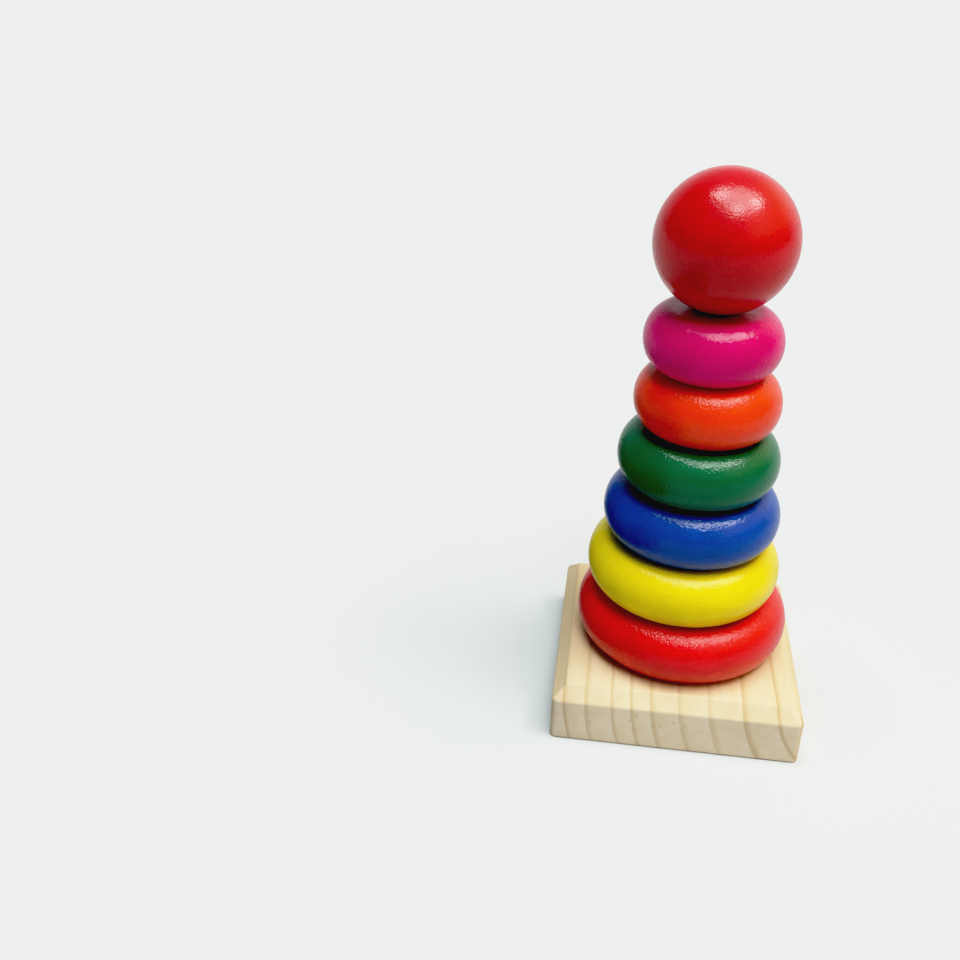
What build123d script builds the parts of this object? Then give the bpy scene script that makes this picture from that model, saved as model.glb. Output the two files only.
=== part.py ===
"""Rainbow stacking tower: a square pine base, a dowel peg glued into it, six painted wooden
rings that get smaller towards the top, and a painted ball that sits over the peg's end.

Millimetres, +Z up. The origin is the centre of the base's underside, and the peg stands on
the Z axis. The front of the base, which is end grain, faces -Y.
"""

import os
from collections import namedtuple
from math import acos, degrees, radians, sqrt, tan

from build123d import *

# Base: a planed board, cut square, with a 45 degree chamfer round its top
BASE_SIDE = 85.0
BASE_THICKNESS = 20.6
TOP_CHAMFER = 4.5
CORNER_RADIUS = 2.0
UNDERSIDE_CHAMFER = 0.3

# Peg: a dowel in a blind hole, with room round it for the glue
PEG_DIAMETER = 10.0
PEG_HOLE_DEPTH = 15.0
PEG_TOP_ABOVE_RINGS = 15.0
PEG_TOP_RADIUS = 1.6
PEG_FOOT_CHAMFER = 0.8
GLUE_GAP = 0.05

# Rings: all of one height, with a loose bore, flat faces and a rounded rim
RING_HEIGHT = 20.85
RING_BORE = 12.5
RIM_DEPTH = 8.4
BORE_EDGE_RADIUS = 0.8

# Ball: drilled from below to take the peg's end
BALL_DIAMETER = 45.0
BALL_BORE = 11.0
BALL_BORE_DEPTH = 20.0
BALL_BORE_EDGE_RADIUS = 0.5
DRILL_POINT_ANGLE = 118.0
BALL_SEAT_GAP = 0.1

# Each ring rests a little off the peg's axis, by no more than its loose bore allows.
Ring = namedtuple("Ring", "name diameter shift_x shift_y")
RINGS = (
    Ring("red_ring", 74.5, 0.5, 0.1),
    Ring("yellow_ring", 67.0, -1.0, -0.1),
    Ring("blue_ring", 60.5, -0.3, 0.2),
    Ring("green_ring", 54.5, -0.3, -0.2),
    Ring("orange_ring", 48.5, 0.3, 0.1),
    Ring("magenta_ring", 45.0, -0.3, 0.1),
)

RINGS_TOP = BASE_THICKNESS + len(RINGS) * RING_HEIGHT
PEG_FOOT = BASE_THICKNESS - PEG_HOLE_DEPTH
PEG_LENGTH = RINGS_TOP + PEG_TOP_ABOVE_RINGS - PEG_FOOT


def turning_plane(ring, height):
    """The upright plane through a ring's axis, with its own origin at the given height."""
    origin = (ring.shift_x, ring.shift_y, height)
    return Plane(origin=origin, x_dir=(1, 0, 0), z_dir=(0, -1, 0))


def turning_axis(ring):
    """The vertical axis that a ring, and the ball above the last one, was turned about."""
    return Axis((ring.shift_x, ring.shift_y, 0), (0, 0, 1))


def ball_centre_height():
    """The ball's centre when it rests in the rounded mouth of the top ring's bore."""
    reach = BALL_DIAMETER / 2 + BALL_SEAT_GAP + BORE_EDGE_RADIUS
    mouth = RING_BORE / 2 + BORE_EDGE_RADIUS
    return RINGS_TOP - BORE_EDGE_RADIUS + sqrt(reach**2 - mouth**2)


def make_base():
    """The board: upright corners rounded, four top chamfers that meet in hips, blind hole."""
    with BuildPart() as base:
        with BuildSketch():
            RectangleRounded(BASE_SIDE, BASE_SIDE, CORNER_RADIUS)
        extrude(amount=BASE_THICKNESS)
        chamfer(base.faces().sort_by(Axis.Z)[0].edges(), length=UNDERSIDE_CHAMFER)
        for out_x, out_y in ((1, 0), (0, 1), (-1, 0), (0, -1)):
            edge_middle = (out_x * BASE_SIDE / 2, out_y * BASE_SIDE / 2, BASE_THICKNESS - TOP_CHAMFER)
            split(bisect_by=Plane(origin=edge_middle, z_dir=(out_x, out_y, 1)), keep=Keep.BOTTOM)
        with Locations((0, 0, BASE_THICKNESS)):
            Hole(radius=PEG_DIAMETER / 2 + GLUE_GAP, depth=PEG_HOLE_DEPTH)
    return base


def make_peg():
    """The dowel, rounded over at its top end and chamfered where it goes into the base."""
    with BuildPart() as peg:
        with BuildSketch(Plane.XY.offset(PEG_FOOT)):
            Circle(PEG_DIAMETER / 2)
        extrude(amount=PEG_LENGTH)
        fillet(peg.faces().sort_by(Axis.Z)[-1].edges(), radius=PEG_TOP_RADIUS)
        chamfer(peg.faces().sort_by(Axis.Z)[0].edges(), length=PEG_FOOT_CHAMFER)
    return peg


def make_ring(ring, floor):
    """One ring, turned about its own axis, with its flat underside at the height floor."""
    bore_radius = RING_BORE / 2
    rim_centre = (ring.diameter / 2 - RIM_DEPTH, RING_HEIGHT / 2)
    with BuildPart() as body:
        with BuildSketch(turning_plane(ring, floor)) as profile:
            with BuildLine():
                rim = EllipticalCenterArc(
                    rim_centre, RIM_DEPTH, RING_HEIGHT / 2, start_angle=-90, arc_size=180
                )
                Polyline(rim @ 1, (bore_radius, RING_HEIGHT), (bore_radius, 0), rim @ 0)
            make_face()
            fillet(profile.vertices().group_by(Axis.X)[0], radius=BORE_EDGE_RADIUS)
        revolve(axis=turning_axis(ring))
    return body


def make_ball(ring):
    """The ball over the top ring's axis, with a drilled hole up into it for the peg."""
    ball_radius = BALL_DIAMETER / 2
    bore_radius = BALL_BORE / 2
    bore_end = BALL_BORE_DEPTH - ball_radius
    drill_tip = bore_end + bore_radius / tan(radians(DRILL_POINT_ANGLE / 2))
    mouth_angle = degrees(acos(bore_radius / ball_radius))
    with BuildPart() as ball:
        with BuildSketch(turning_plane(ring, ball_centre_height())) as profile:
            with BuildLine():
                skin = CenterArc((0, 0), ball_radius, -mouth_angle, mouth_angle + 90)
                Polyline(skin @ 1, (0, drill_tip), (bore_radius, bore_end), skin @ 0)
            make_face()
            fillet(profile.vertices().sort_by(Axis.Y)[0], radius=BALL_BORE_EDGE_RADIUS)
        revolve(axis=turning_axis(ring))
    return ball


def save(piece, name):
    """Labels a finished piece and writes its STEP file."""
    piece.part.label = name
    export_step(piece.part, os.path.join("parts", name + ".step"))


os.makedirs("parts", exist_ok=True)
save(make_base(), "base")
save(make_peg(), "peg")
for index, ring in enumerate(RINGS):
    save(make_ring(ring, BASE_THICKNESS + index * RING_HEIGHT), ring.name)
save(make_ball(RINGS[-1]), "ball")
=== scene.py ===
import math

import bmesh
import bpy
from mathutils import Matrix, Vector, noise


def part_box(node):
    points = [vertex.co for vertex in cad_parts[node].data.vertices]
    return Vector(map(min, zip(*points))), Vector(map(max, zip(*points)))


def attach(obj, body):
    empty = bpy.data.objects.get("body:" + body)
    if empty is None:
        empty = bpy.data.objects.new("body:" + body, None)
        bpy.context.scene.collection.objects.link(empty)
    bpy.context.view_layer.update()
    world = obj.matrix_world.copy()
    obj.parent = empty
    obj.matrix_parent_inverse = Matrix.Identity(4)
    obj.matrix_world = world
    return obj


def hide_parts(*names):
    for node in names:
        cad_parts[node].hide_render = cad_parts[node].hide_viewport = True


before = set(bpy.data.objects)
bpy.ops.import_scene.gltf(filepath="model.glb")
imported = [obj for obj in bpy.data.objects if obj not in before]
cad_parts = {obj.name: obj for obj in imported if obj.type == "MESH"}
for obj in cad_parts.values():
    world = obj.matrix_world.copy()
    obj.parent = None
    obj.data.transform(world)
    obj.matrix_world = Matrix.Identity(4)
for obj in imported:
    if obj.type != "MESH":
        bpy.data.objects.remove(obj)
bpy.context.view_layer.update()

MM = 0.001

# The part's own sizes, in metres, as the CAD model has them
BASE_TOP_CHAMFER = 4.5 * MM
BASE_CORNER = 2.0 * MM
BASE_UNDERSIDE_CHAMFER = 0.3 * MM
PEG_HOLE_RADIUS = 5.05 * MM
PEG_HOLE_DEPTH = 15.0 * MM
PEG_TOP_RADIUS = 1.6 * MM
PEG_FOOT_CHAMFER = 0.8 * MM
RING_BORE_RADIUS = 6.25 * MM
RING_RIM_DEPTH = 8.4 * MM
RING_EDGE_RADIUS = 0.8 * MM
BALL_BORE_RADIUS = 5.5 * MM
BALL_BORE_DEPTH = 20.0 * MM
DRILL_HALF_ANGLE = math.radians(59)


# ---------------------------------------------------------------- meshes

def arc(centre, radii, start, end, steps):
    """Points (radius, height) along an elliptical arc, from start to end in degrees."""
    points = []
    for step in range(steps + 1):
        angle = math.radians(start + (end - start) * step / steps)
        points.append((centre[0] + radii[0] * math.cos(angle), centre[1] + radii[1] * math.sin(angle)))
    return points


def line(start, end, steps):
    """Evenly spaced points between two others, without the two ends."""
    points = []
    for step in range(1, steps):
        share = step / steps
        points.append((start[0] + (end[0] - start[0]) * share, start[1] + (end[1] - start[1]) * share))
    return points


def make_object(name, vertices, faces):
    """A smooth-shaded mesh object at the origin, with its place in its vertices."""
    mesh = bpy.data.meshes.new(name)
    mesh.from_pydata(vertices, [], faces)
    mesh.validate()
    shape = bmesh.new()
    shape.from_mesh(mesh)
    bmesh.ops.recalc_face_normals(shape, faces=shape.faces)
    shape.to_mesh(mesh)
    shape.free()
    mesh.shade_smooth()
    piece = bpy.data.objects.new(name, mesh)
    bpy.context.scene.collection.objects.link(piece)
    return piece


ON_AXIS = 1e-7   # a profile point this near the axis becomes one vertex


def lathe(name, profile, centre, steps, closed):
    """Turns a profile of (radius, height) points about the upright line through centre."""
    vertices = []
    rows = []
    for radius, height in profile:
        first = len(vertices)
        if radius < ON_AXIS:
            vertices.append((centre[0], centre[1], height))
            rows.append([first] * steps)
            continue
        for step in range(steps):
            turn = math.tau * step / steps
            x = centre[0] + radius * math.cos(turn)
            y = centre[1] + radius * math.sin(turn)
            vertices.append((x, y, height))
        rows.append(list(range(first, first + steps)))
    if closed:
        rows.append(rows[0])
    faces = []
    for lower, upper in zip(rows, rows[1:]):
        for step in range(steps):
            after = (step + 1) % steps
            corners = [lower[step], lower[after], upper[after], upper[step]]
            faces.append(list(dict.fromkeys(corners)))
    return make_object(name, vertices, faces)


def wear(piece, depth, size, seed):
    """Sinks the surface by up to depth in soft hollows about size across, as hand sanding does."""
    mesh = piece.data
    offset = Vector((seed * 3.7, seed * 1.3, seed * 2.1))
    normals = [vertex.normal.copy() for vertex in mesh.vertices]
    for vertex, normal in zip(mesh.vertices, normals):
        hollow = 0.5 + 0.5 * noise.noise(vertex.co / size + offset)
        vertex.co -= normal * depth * hollow
    mesh.update()


# ---------------------------------------------------------------- nodes

def new_material(name):
    """An empty node material with a Principled shader; returns the material, tree and shader."""
    material = bpy.data.materials.new(name)
    material.use_nodes = True
    tree = material.node_tree
    tree.nodes.clear()
    shader = tree.nodes.new("ShaderNodeBsdfPrincipled")
    output = tree.nodes.new("ShaderNodeOutputMaterial")
    tree.links.new(shader.outputs[0], output.inputs[0])
    return material, tree, shader


def feed(tree, socket, value):
    """Gives a socket a link, or a plain value."""
    if isinstance(value, bpy.types.NodeSocket):
        tree.links.new(value, socket)
    else:
        socket.default_value = value


def place(tree, scale, offset=(0, 0, 0), turn=(0, 0, 0)):
    """The object's own coordinates, in metres, scaled, turned and shifted."""
    coordinates = tree.nodes.new("ShaderNodeTexCoord")
    mapping = tree.nodes.new("ShaderNodeMapping")
    tree.links.new(coordinates.outputs["Object"], mapping.inputs["Vector"])
    mapping.inputs["Location"].default_value = offset
    mapping.inputs["Rotation"].default_value = turn
    mapping.inputs["Scale"].default_value = scale
    return mapping.outputs[0]


def clouds(tree, vector, detail=2.0, roughness=0.5):
    """A noise value from 0 to 1."""
    node = tree.nodes.new("ShaderNodeTexNoise")
    node.inputs["Scale"].default_value = 1.0
    feed(tree, node.inputs["Vector"], vector)
    feed(tree, node.inputs["Detail"], detail)
    feed(tree, node.inputs["Roughness"], roughness)
    return node.outputs[0]


def calc(tree, operation, *values):
    """One step of arithmetic."""
    node = tree.nodes.new("ShaderNodeMath")
    node.operation = operation
    for socket, value in zip(node.inputs, values):
        feed(tree, socket, value)
    return node.outputs[0]


def product(tree, first, *others):
    """Values multiplied together."""
    for other in others:
        first = calc(tree, "MULTIPLY", first, other)
    return first


def square_of_distance(tree, x, y):
    """x squared plus y squared."""
    return calc(tree, "ADD", product(tree, x, x), product(tree, y, y))


def split(tree, vector):
    """The X, Y and Z of a vector."""
    node = tree.nodes.new("ShaderNodeSeparateXYZ")
    tree.links.new(vector, node.inputs[0])
    return node.outputs


def spread(tree, value, low, high, new_low=0.0, new_high=1.0):
    """Maps low..high smoothly to new_low..new_high."""
    node = tree.nodes.new("ShaderNodeMapRange")
    node.interpolation_type = "SMOOTHSTEP"
    for socket, amount in zip(node.inputs, (value, low, high, new_low, new_high)):
        feed(tree, socket, amount)
    return node.outputs[0]


def mix(tree, factor, first, second, mode="MIX"):
    """Blends two colours, of which a plain one is (red, green, blue)."""
    node = tree.nodes.new("ShaderNodeMix")
    node.data_type = "RGBA"
    node.blend_type = mode
    factor_socket, first_socket, second_socket = node.inputs[0], node.inputs[6], node.inputs[7]
    feed(tree, factor_socket, factor)
    for socket, colour in ((first_socket, first), (second_socket, second)):
        feed(tree, socket, (*colour, 1) if isinstance(colour, tuple) else colour)
    return node.outputs[2]


def scaled(tree, value, colour):
    """A colour times a value."""
    grey = tree.nodes.new("ShaderNodeCombineColor")
    for socket in grey.inputs:
        tree.links.new(value, socket)
    return mix(tree, 1.0, grey.outputs[0], colour, "MULTIPLY")


def bump(tree, height, distance, strength=1.0, below=None):
    """A bump from a height value; below is an earlier bump that this one adds to."""
    node = tree.nodes.new("ShaderNodeBump")
    node.inputs["Strength"].default_value = strength
    node.inputs["Distance"].default_value = distance
    feed(tree, node.inputs["Height"], height)
    if below is not None:
        feed(tree, node.inputs["Normal"], below)
    return node.outputs[0]


# ---------------------------------------------------------------- paint

PAINT_SHADE = 0.88      # how much darker and brighter than its colour the paint gets in places
PAINT_BRIGHT = 1.08
BRUSH_DEPTH = 0.03 * MM
PEEL_DEPTH = 0.12 * MM
SKIN_DEPTH = 0.15 * MM
GRIT_DEPTH = 0.14 * MM


def paint(name, colour, seed, relief, gloss):
    """Gloss paint over turned wood. relief scales the brush marks, orange peel and grit in the
    skin of the paint, and gloss is the roughness of that skin."""
    material, tree, shader = new_material(name)
    shade = tuple(channel * PAINT_SHADE for channel in colour)
    bright = tuple(min(1, channel * PAINT_BRIGHT) for channel in colour)

    shift = (seed * 1.7, seed * 0.6, seed * 2.9)
    brush_turn = (0, 0, 0.6 * seed)
    broad = clouds(tree, place(tree, (55, 55, 55), shift), detail=3)
    brush = clouds(tree, place(tree, (90, 900, 420), shift, brush_turn), detail=3, roughness=0.6)
    peel = clouds(tree, place(tree, (330, 330, 330), shift))
    skin = clouds(tree, place(tree, (900, 900, 900), shift), roughness=0.55)
    grit = clouds(tree, place(tree, (1500, 1500, 1500), shift))

    base = mix(tree, spread(tree, broad, 0.32, 0.62), shade, colour)
    base = mix(tree, spread(tree, brush, 0.52, 0.78, 0.0, 0.5), base, bright)
    tree.links.new(base, shader.inputs["Base Color"])

    tree.links.new(spread(tree, skin, 0.3, 0.7, 0.40, 0.55), shader.inputs["Roughness"])
    shader.inputs["IOR"].default_value = 1.15
    shader.inputs["Coat Weight"].default_value = 1.0
    shader.inputs["Coat IOR"].default_value = 1.47
    shader.inputs["Coat Roughness"].default_value = gloss

    surface = bump(tree, brush, BRUSH_DEPTH * relief, 0.6)
    for height, depth in ((peel, PEEL_DEPTH), (skin, SKIN_DEPTH), (grit, GRIT_DEPTH)):
        surface = bump(tree, height, depth * relief, 0.9, surface)
    tree.links.new(surface, shader.inputs["Normal"])
    tree.links.new(surface, shader.inputs["Coat Normal"])
    return material


# ---------------------------------------------------------------- wood

# Growth lines of the base's board: its pith as (x, z), then each line's distance from the pith, in
# millimetres, and its darkness
PITH = (66.1, 23.9)
GROWTH_LINES = (
    (26.3, 1.0), (33.8, 0.95), (45.0, 0.85), (56.3, 0.45), (66.2, 0.5),
    (75.4, 0.65), (82.2, 0.7), (88.6, 0.6), (97.4, 0.5), (104.8, 0.8),
)
GROWTH_SPAN = 125.0
GROWTH_WANDER = 0.7           # how far a growth line strays either way, in millimetres
LINE_EDGE = 0.4
SHORT_LINE = (-41.0, -34.0)   # two of the lines fade between these places along Y
SHORT_LINE_LOSS = 0.8

# Small pits in the end grain at the front, as (x, z) in millimetres
PITS = ((-13.6, 13.3), (-15.4, 10.6), (-7.7, 9.4), (-4.9, 9.6), (-1.0, 11.9), (3.2, 10.9), (-29.0, 8.4))
PIT_RADIUS = 1.1
# Painted shade: each pit is darkened in colour, as shade in it
PIT_SHADE_STRENGTH = 0.34
PIT_DEPTH = 0.15 * MM

EARLY_WOOD = ((0.665, 0.560, 0.370), (0.72, 0.615, 0.422))
STREAK_WOOD = (0.615, 0.495, 0.290)
FIBRE_WOOD = (0.76, 0.660, 0.460)
CLIMB_WOOD = (0.59, 0.475, 0.285)
LATE_WOOD = (0.46, 0.33, 0.15)
PIT_SHADE_COLOUR = (0.26, 0.21, 0.14)
# Painted shade: the board is darker towards its left side, where less light falls
LEFT_SHADE_TINT = (0.86, 0.86, 0.86)
LEFT_SHADE_EDGE = (-18, -44)       # painted shade: the board darkens between these places along X
# The faces across Y get their end grain's tone plus painted light: lighter and bluer than the top, for the
# light falling on the front
END_GRAIN_AND_LIGHT_TINT = (1.12, 1.20, 1.42)

DOWEL_WOOD = ((0.78, 0.62, 0.40), (0.67, 0.49, 0.28))
DOWEL_FIBRE = (0.50, 0.34, 0.18)


def growth(tree, position, warp):
    """Two values at a position in millimetres: one climbs from 0 to 1 between growth lines and
    drops again behind each line; the other is how dark the coming line is."""
    x, y, z = split(tree, position)
    across = calc(tree, "SUBTRACT", x, PITH[0])
    upward = calc(tree, "SUBTRACT", z, PITH[1])
    distance = calc(tree, "ADD", calc(tree, "SQRT", square_of_distance(tree, across, upward)), warp)
    ramp = tree.nodes.new("ShaderNodeValToRGB")
    tree.links.new(calc(tree, "DIVIDE", distance, GROWTH_SPAN), ramp.inputs[0])
    stops = ramp.color_ramp.elements
    stops[0].color = (0, GROWTH_LINES[0][1], 0, 1)
    stops[1].color = (1, GROWTH_LINES[-1][1], 0, 1)
    darkness = [dark for _, dark in GROWTH_LINES]
    for (line_at, dark), next_dark in zip(GROWTH_LINES, darkness[1:] + darkness[-1:]):
        stops.new((line_at - LINE_EDGE / 2) / GROWTH_SPAN).color = (1, dark, 0, 1)
        stops.new((line_at + LINE_EDGE / 2) / GROWTH_SPAN).color = (0, next_dark, 0, 1)
    values = tree.nodes.new("ShaderNodeSeparateColor")
    tree.links.new(ramp.outputs[0], values.inputs[0])
    climb, dark = values.outputs[0], values.outputs[1]

    behind = spread(tree, y, *SHORT_LINE)
    first_line, last_line = GROWTH_LINES[0][0], GROWTH_LINES[-2][0]
    innermost = spread(tree, distance, first_line + 3 * LINE_EDGE, first_line + LINE_EDGE)
    outermost = spread(tree, distance, last_line + LINE_EDGE, last_line + 3 * LINE_EDGE)
    short = calc(tree, "ADD", innermost, outermost)
    kept = calc(tree, "SUBTRACT", 1.0, product(tree, behind, short, SHORT_LINE_LOSS))
    return climb, product(tree, dark, kept)


def pits(tree, position, front):
    """1 in each small pit of the front face and 0 elsewhere."""
    rough = clouds(tree, place(tree, (900, 900, 1300)))
    ragged = product(tree, rough, PIT_RADIUS * 1.4)
    total = None
    for x, z in PITS:
        away = tree.nodes.new("ShaderNodeVectorMath")
        away.operation = "DISTANCE"
        tree.links.new(position, away.inputs[0])
        away.inputs[1].default_value = (x, front, z)
        reach = calc(tree, "ADD", away.outputs["Value"], ragged)
        pit = spread(tree, reach, PIT_RADIUS * 1.5, PIT_RADIUS * 0.4)
        total = pit if total is None else calc(tree, "MAXIMUM", total, pit)
    return total


def pine(name, front):
    """Planed, sanded pine with growth lines along Y and end grain on the faces across Y, which also carry
    painted light, with painted shade on its left side and in its pits.
    """
    material, tree, shader = new_material(name)
    position = place(tree, (1 / MM, 1 / MM, 1 / MM))
    wander = clouds(tree, place(tree, (24, 9, 24)))
    warp = spread(tree, wander, 0.2, 0.8, -GROWTH_WANDER, GROWTH_WANDER)
    climb, darkness = growth(tree, position, warp)
    late = product(tree, spread(tree, climb, 0.72, 0.97), darkness)
    fibres = clouds(tree, place(tree, (1300, 26, 1300)), detail=4, roughness=0.65)
    streaks = clouds(tree, place(tree, (300, 7, 300)), detail=3)
    blotch = clouds(tree, place(tree, (38, 20, 38), (3, 1, 0)))

    base = mix(tree, spread(tree, blotch, 0.3, 0.7), *EARLY_WOOD)
    base = mix(tree, spread(tree, streaks, 0.35, 0.75, 0.0, 0.5), base, STREAK_WOOD)
    base = mix(tree, spread(tree, fibres, 0.50, 0.80, 0.0, 0.35), base, FIBRE_WOOD)
    base = mix(tree, product(tree, climb, 0.25), base, CLIMB_WOOD)
    base = mix(tree, product(tree, late, 0.75), base, LATE_WOOD)
    # painted shade on the board's left side
    left_shade = spread(tree, split(tree, position)["X"], *LEFT_SHADE_EDGE)
    base = mix(tree, left_shade, base, LEFT_SHADE_TINT, "MULTIPLY")

    # end grain tone plus painted light on the faces across Y
    normal = tree.nodes.new("ShaderNodeNewGeometry").outputs["True Normal"]
    end_grain_and_light = spread(tree, calc(tree, "ABSOLUTE", split(tree, normal)["Y"]), 0.75, 0.95)
    base = mix(tree, end_grain_and_light, base, END_GRAIN_AND_LIGHT_TINT, "MULTIPLY")
    sunk = pits(tree, position, front / MM)
    # painted shade in the pits
    base = mix(tree, product(tree, sunk, PIT_SHADE_STRENGTH), base, PIT_SHADE_COLOUR)
    tree.links.new(base, shader.inputs["Base Color"])

    tree.links.new(spread(tree, fibres, 0.3, 0.7, 0.52, 0.66), shader.inputs["Roughness"])
    shader.inputs["IOR"].default_value = 1.45
    surface = bump(tree, fibres, 0.06 * MM, 0.8)
    surface = bump(tree, late, 0.08 * MM, 0.8, surface)
    surface = bump(tree, calc(tree, "SUBTRACT", 1.0, sunk), PIT_DEPTH, 1.0, surface)
    tree.links.new(surface, shader.inputs["Normal"])
    return material


def dowel(name):
    """Unpainted beech dowel, its grain along Z."""
    material, tree, shader = new_material(name)
    fibres = clouds(tree, place(tree, (1500, 1500, 40)), detail=4, roughness=0.65)
    bands = clouds(tree, place(tree, (260, 260, 9)), detail=3)
    base = mix(tree, spread(tree, bands, 0.3, 0.7), *DOWEL_WOOD)
    base = mix(tree, spread(tree, fibres, 0.55, 0.8, 0, 0.6), base, DOWEL_FIBRE)
    tree.links.new(base, shader.inputs["Base Color"])
    tree.links.new(spread(tree, fibres, 0.3, 0.7, 0.45, 0.62), shader.inputs["Roughness"])
    tree.links.new(bump(tree, fibres, 0.05 * MM, 0.8), shader.inputs["Normal"])
    return material


# ---------------------------------------------------------------- pieces

# How the board's mesh is divided
SIDE_POINTS = 110
SIDE_ROWS = 24
CHAMFER_ROWS = 15
UNDERSIDE_INSETS = (36, 26, 16, 9, 5, 3, 2, 1.4, 1.1)   # in millimetres
HIP_RADIUS = 0.5 * MM       # the corner radius that is left at the top of the chamfer
HIP_RATE = 1.6              # how fast the corner radius shrinks up the chamfer
TOP_REACH = 36 * MM         # how far in the square loops go before the peg's hole
TOP_STEP = 0.5 * MM
TOP_STEP_RATE = 0.06

RING_WEAR = (0.06 * MM, 14 * MM)
BALL_WEAR = (0.05 * MM, 16 * MM)
BALL_SEED = 8
BALL_GLOSS = 0.19
BALL_RELIEF = 0.5
BALL_MOUTH_BEVEL = 0.2 * MM
BALL_MOUTH_GAP = 1.5        # the ball's skin ends this many degrees above its mouth


def middle_of(low, high):
    """The upright line through the middle of a box, as (x, y)."""
    return (low[0] + high[0]) / 2, (low[1] + high[1]) / 2


def base_profile(height):
    """Loops of the board as (inset, height, corner radius), from the underside to the top."""
    under = BASE_UNDERSIDE_CHAMFER
    side = height - BASE_TOP_CHAMFER
    loops = [(inset * MM, 0.0, BASE_CORNER) for inset in UNDERSIDE_INSETS]
    loops += [(under, 0.0, BASE_CORNER), (under / 2, under / 2, BASE_CORNER), (0.0, under, BASE_CORNER)]
    for row in range(1, SIDE_ROWS):
        loops.append((0.0, under + (side - under) * row / SIDE_ROWS, BASE_CORNER))
    for row in range(CHAMFER_ROWS):
        climb = BASE_TOP_CHAMFER * row / CHAMFER_ROWS
        corner = max(HIP_RADIUS, BASE_CORNER - climb * HIP_RATE)
        loops.append((climb, side + climb, corner))
    inset = BASE_TOP_CHAMFER
    loops.append((inset, height, HIP_RADIUS))
    while inset < TOP_REACH:
        inset += max(TOP_STEP, (inset - BASE_TOP_CHAMFER) * TOP_STEP_RATE)
        loops.append((inset, height, HIP_RADIUS))
    return loops


def square_loop(half, corner, count):
    """Points round a square with rounded corners, evenly spread, count to a side."""
    points = []
    straight = half - corner
    for side in range(4):
        turn = math.tau * side / 4
        for step in range(count):
            along = -half + 2 * half * step / count
            out = half
            beyond = abs(along) - straight
            if beyond > 0:
                angle = beyond / corner * math.pi / 4
                out = straight + corner * math.cos(angle)
                along = math.copysign(straight + corner * math.sin(angle), along)
            x = out * math.cos(turn) - along * math.sin(turn)
            y = out * math.sin(turn) + along * math.cos(turn)
            points.append((x, y))
    return points


def make_base():
    """The board, as square loops from its underside up its sides to its top, then the blind hole."""
    low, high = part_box("base")
    half = (high[0] - low[0]) / 2
    height = high[2] - low[2]
    loops = base_profile(height)
    vertices = []
    for inset, z, corner in loops:
        for x, y in square_loop(half - inset, corner, SIDE_POINTS):
            vertices.append((x, y, low[2] + z))
    around = 4 * SIDE_POINTS
    hole = (height, height - PEG_HOLE_DEPTH)
    for z in hole:
        for step in range(around):
            turn = math.tau * (step - SIDE_POINTS / 2) / around
            x = PEG_HOLE_RADIUS * math.cos(turn)
            y = PEG_HOLE_RADIUS * math.sin(turn)
            vertices.append((x, y, low[2] + z))
    rows = len(loops) + len(hole)
    faces = []
    for row in range(rows - 1):
        for step in range(around):
            after = (step + 1) % around
            faces.append((row * around + step, row * around + after,
                          (row + 1) * around + after, (row + 1) * around + step))
    faces.append(list(range((rows - 1) * around, rows * around)))
    faces.append(list(reversed(range(around))))
    piece = make_object("pine_base", vertices, faces)
    piece.data.materials.append(pine("pine", low[1]))
    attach(piece, "stand")
    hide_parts("base")


def make_peg():
    """The dowel, from its chamfered foot in the board to its rounded tip."""
    low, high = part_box("peg")
    radius = (high[0] - low[0]) / 2
    shoulder = low[2] + PEG_FOOT_CHAMFER
    tip_centre = (radius - PEG_TOP_RADIUS, high[2] - PEG_TOP_RADIUS)
    profile = [(0, low[2]), (radius - PEG_FOOT_CHAMFER, low[2]), (radius, shoulder)]
    profile += line((radius, shoulder), (radius, tip_centre[1]), 40)
    profile += arc(tip_centre, (PEG_TOP_RADIUS, PEG_TOP_RADIUS), 0, 90, 10)
    profile.append((0, high[2]))
    piece = lathe("peg_dowel", profile, middle_of(low, high), 96, False)
    piece.data.materials.append(dowel("dowel"))
    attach(piece, "stand")
    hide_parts("peg")


def ring_profile(radius, floor, top):
    """A ring's section, once round: bore, upper mouth, flat, rim, flat and lower mouth."""
    bore = RING_BORE_RADIUS
    edge = RING_EDGE_RADIUS
    rim_centre = (radius - RING_RIM_DEPTH, (floor + top) / 2)
    rim = arc(rim_centre, (RING_RIM_DEPTH, (top - floor) / 2), 90, -90, 56)
    upper_mouth = arc((bore + edge, top - edge), (edge, edge), 180, 90, 6)
    lower_mouth = arc((bore + edge, floor + edge), (edge, edge), 270, 180, 6)
    profile = upper_mouth
    profile += line(upper_mouth[-1], rim[0], 8)
    profile += rim
    profile += line(rim[-1], lower_mouth[0], 8)
    profile += lower_mouth
    profile += line(lower_mouth[-1], upper_mouth[0], 8)
    return profile


def make_ring(node, body, slot_name, colour, seed, gloss, relief=1.0):
    """A painted ring in the place of the CAD node, a little uneven from sanding."""
    low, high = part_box(node)
    radius = (high[0] - low[0]) / 2
    profile = ring_profile(radius, low[2], high[2])
    piece = lathe(node + "_painted", profile, middle_of(low, high), 288, True)
    wear(piece, *RING_WEAR, seed)
    piece.data.materials.append(paint(slot_name, colour, seed, relief, gloss))
    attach(piece, body)
    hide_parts(node)


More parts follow.
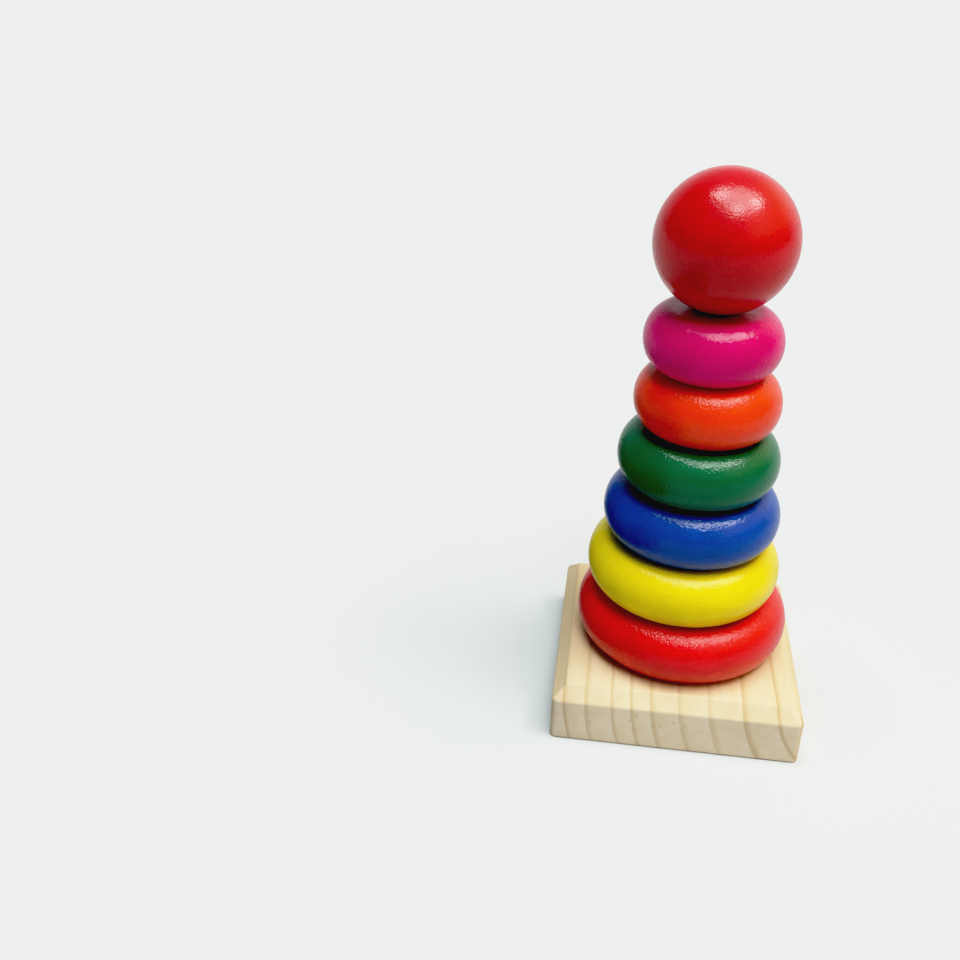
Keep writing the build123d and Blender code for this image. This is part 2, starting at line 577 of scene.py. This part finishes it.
def make_ball(colour):
    """The painted ball, with the drilled hole for the peg's end going up into it."""
    low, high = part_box("ball")
    radius = (high[0] - low[0]) / 2
    middle = high[2] - radius
    mouth = math.degrees(math.acos(BALL_BORE_RADIUS / radius))
    bore_end = (BALL_BORE_RADIUS, middle - radius + BALL_BORE_DEPTH)
    drill_tip = bore_end[1] + BALL_BORE_RADIUS / math.tan(DRILL_HALF_ANGLE)
    bore_start = (BALL_BORE_RADIUS, low[2] + BALL_MOUTH_BEVEL)
    profile = [(0, high[2])]
    profile += arc((0, middle), (radius, radius), 90, -mouth + BALL_MOUTH_GAP, 110)[1:]
    profile += [(BALL_BORE_RADIUS + BALL_MOUTH_BEVEL, low[2]), bore_start]
    profile += line(bore_start, bore_end, 12)
    profile += [bore_end, (0, drill_tip)]
    piece = lathe("ball_painted", profile, middle_of(low, high), 256, False)
    wear(piece, *BALL_WEAR, BALL_SEED)
    piece.data.materials.append(paint("ball_paint", colour, BALL_SEED, BALL_RELIEF, BALL_GLOSS))
    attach(piece, "top_ball")
    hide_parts("ball")


make_base()
make_peg()
make_ring("red_ring", "red", "red_paint", (0.67, 0.019, 0.026), seed=1, gloss=0.19, relief=1.3)
make_ring("yellow_ring", "yellow", "yellow_paint", (0.80, 0.675, 0.006), seed=2, gloss=0.27, relief=0.8)
make_ring("blue_ring", "blue", "blue_paint", (0.003, 0.074, 0.40), seed=3, gloss=0.13)
make_ring("green_ring", "green", "green_paint", (0.004, 0.152, 0.067), seed=4, gloss=0.14)
make_ring("orange_ring", "orange", "orange_paint", (0.83, 0.060, 0.021), seed=5, gloss=0.20)
make_ring("magenta_ring", "magenta", "magenta_paint", (0.64, 0.003, 0.175), seed=6, gloss=0.15)
make_ball((0.55, 0.018, 0.029))


# ---------------------------------------------------------------- floor, light and camera

FLOOR_HALF = 4.0
FLOOR_DROP = 0.05 * MM                                        # keeps the floor under the base
FLOOR_SEEN = ((0.545, 0.612, 0.647), (0.555, 0.622, 0.657))   # what the camera sees
FLOOR_BOUNCE = (0.43, 0.465, 0.495)                           # what lights the tower from below

# The reflected card: how far left it stands, its front, its back and its top, in millimetres
FLAG = (-62.0, -120.0, 60.0, 140.0)
FLAG_FADE = 60.0
FLAG_CLOTH = ((0.03, 0.035, 0.03), (0.05, 0.055, 0.05))

# The soft box overhead. A direction's x / z and y / z say where it meets the box, and each side of
# the box goes from no light to full light between two of those.
BOX_LIGHT = (6.35, 6.25, 6.0)
BOX_LEFT, BOX_RIGHT = (-0.30, -0.12), (0.80, 0.55)
BOX_FRONT, BOX_BACK = (-0.66, -0.28), (0.34, 0.12)
BOX_LAMPS = ((-0.26, 0.03), (0.60, -0.06), (0.16, -0.50))
LAMP_REACH = 0.036            # a lamp fades out where the square of the distance is this
LAMP_LIGHT = 2.4
LOWEST_UP = 0.05              # z is taken as at least this, so nothing is divided by zero

WALL_LIGHT = (0.96, 1.0, 1.02)
GLOW_LIGHT = (1.1, 0.55, 0.12)
ROOM_LIGHT = (0.30, 0.30, 0.30)
BACKDROP = (1.04, 1.10, 1.08)

CAMERA_PLACE = (-31.7 * MM, -338.2 * MM, 267.0 * MM)
CAMERA_HEADING = 7.20
CAMERA_DIP = 29.21
CAMERA_ROLL = 1.36
CAMERA_LENS = 41.47
CAMERA_SENSOR = 36.0

# How bright the picture is for a given light: a soft shoulder, so pale wood keeps its colour
BLACKEST = 0.043
DARKEST = 0.0035
WHITEST = 2.2
SHOULDER = ((0.32, 0.275), (0.62, 0.575), (0.92, 0.80), (1.2, 0.90), (1.6, 0.965))


def make_floor():
    """A plain pale floor. The camera sees it paler than it is for the light that it throws back."""
    half = FLOOR_HALF
    corners = [(-half, -half), (half, -half), (half, half), (-half, half)]
    floor = make_object("floor", [(x, y, -FLOOR_DROP) for x, y in corners], [(0, 1, 2, 3)])
    material, tree, shader = new_material("floor_card")
    base = mix(tree, clouds(tree, place(tree, (6, 6, 6))), *FLOOR_SEEN)
    seen = tree.nodes.new("ShaderNodeLightPath").outputs["Is Camera Ray"]
    base = mix(tree, seen, FLOOR_BOUNCE, base)
    tree.links.new(base, shader.inputs["Base Color"])
    shader.inputs["Roughness"].default_value = 0.8
    shader.inputs["Specular IOR Level"].default_value = 0.2
    floor.data.materials.append(material)


def make_flag():
    """A dark card on the left that only reflections see, as a carton beside the tower would be."""
    x, front, back, top = (length * MM for length in FLAG)
    corners = [(x, front, 0), (x, back, 0), (x, back, top), (x, front, top)]
    flag = make_object("flag", corners, [(0, 1, 2, 3)])
    material, tree, shader = new_material("flag_cloth")
    cloth = mix(tree, clouds(tree, place(tree, (900, 900, 900))), *FLAG_CLOTH)
    tree.links.new(cloth, shader.inputs["Base Color"])
    shader.inputs["Roughness"].default_value = 0.9
    fade = FLAG_FADE * MM
    spot = split(tree, tree.nodes.new("ShaderNodeTexCoord").outputs["Object"])
    from_front = spread(tree, spot["Y"], front, front + fade)
    from_top = spread(tree, spot["Z"], top, top - fade)
    tree.links.new(product(tree, from_front, from_top), shader.inputs["Alpha"])
    flag.data.materials.append(material)
    flag.visible_camera = False
    flag.visible_diffuse = False
    flag.visible_shadow = False


def overhead_box(tree, x, y, z):
    """How bright the soft box is in a direction, with the glow of its three lamps."""
    up = calc(tree, "MAXIMUM", z, LOWEST_UP)
    box_x = calc(tree, "DIVIDE", x, up)
    box_y = calc(tree, "DIVIDE", y, up)
    across = product(tree, spread(tree, box_x, *BOX_LEFT), spread(tree, box_x, *BOX_RIGHT))
    box = product(tree, across, spread(tree, box_y, *BOX_FRONT), spread(tree, box_y, *BOX_BACK))
    for lamp_x, lamp_y in BOX_LAMPS:
        aside = calc(tree, "SUBTRACT", box_x, lamp_x)
        ahead = calc(tree, "SUBTRACT", box_y, lamp_y)
        lamp = spread(tree, square_of_distance(tree, aside, ahead), LAMP_REACH, 0.0, 0.0, LAMP_LIGHT)
        box = calc(tree, "ADD", box, lamp)
    return box


def make_world():
    """Studio light by direction: a wide soft box overhead, a warm glow on the right, a pale wall
    behind the tower and a dim room in front of it. The camera itself sees plain pale grey."""
    world = bpy.data.worlds.new("studio")
    world.use_nodes = True
    tree = world.node_tree
    x, y, z = split(tree, tree.nodes.new("ShaderNodeTexCoord").outputs["Generated"])
    box = overhead_box(tree, x, y, z)
    wall = product(tree, spread(tree, y, 0.2, 0.75, 0.03, 0.95), spread(tree, z, 0.15, 0.65, 1.0, 0.35),
                   spread(tree, x, -0.95, 0.1, 0.50, 0.95))
    glow = product(tree, spread(tree, x, 0.2, 0.7), spread(tree, z, 0.05, 0.4), spread(tree, z, 0.95, 0.7))
    room = product(tree, spread(tree, y, 0.1, -0.5), spread(tree, z, 0.1, 0.45))

    light = scaled(tree, wall, WALL_LIGHT)
    for value, colour in ((box, BOX_LIGHT), (glow, GLOW_LIGHT), (room, ROOM_LIGHT)):
        light = mix(tree, 1.0, light, scaled(tree, value, colour), "ADD")
    seen = tree.nodes.new("ShaderNodeLightPath").outputs["Is Camera Ray"]
    tree.links.new(mix(tree, seen, light, BACKDROP), tree.nodes["Background"].inputs["Color"])
    bpy.context.scene.world = world


def make_camera():
    """The camera stands in front, looks down at the tower and has it right of the middle."""
    lens = bpy.data.cameras.new("camera")
    lens.lens = CAMERA_LENS
    lens.sensor_width = CAMERA_SENSOR
    lens.clip_start = 0.01
    lens.clip_end = 50.0
    camera = bpy.data.objects.new("camera", lens)
    heading = Matrix.Rotation(math.radians(CAMERA_HEADING), 4, "Z")
    pitch = Matrix.Rotation(math.radians(90 - CAMERA_DIP), 4, "X")
    roll = Matrix.Rotation(math.radians(CAMERA_ROLL), 4, "Z")
    camera.matrix_world = Matrix.Translation(CAMERA_PLACE) @ heading @ pitch @ roll
    bpy.context.scene.collection.objects.link(camera)
    bpy.context.scene.camera = camera


def set_response():
    """Gives the picture its tones: the same curve for red, green and blue."""
    settings = bpy.context.scene.view_settings
    settings.view_transform = "Standard"
    settings.use_curve_mapping = True
    response = settings.curve_mapping
    response.extend = "HORIZONTAL"
    response.black_level = (BLACKEST,) * 3
    response.white_level = (WHITEST,) * 3
    for tone in list(response.curves)[:3]:
        tone.points[0].location = (0, DARKEST)
        for light, brightness in SHOULDER:
            tone.points.new((light - BLACKEST) / (WHITEST - BLACKEST), brightness)
    response.update()


make_floor()
make_flag()
make_world()
make_camera()
set_response()
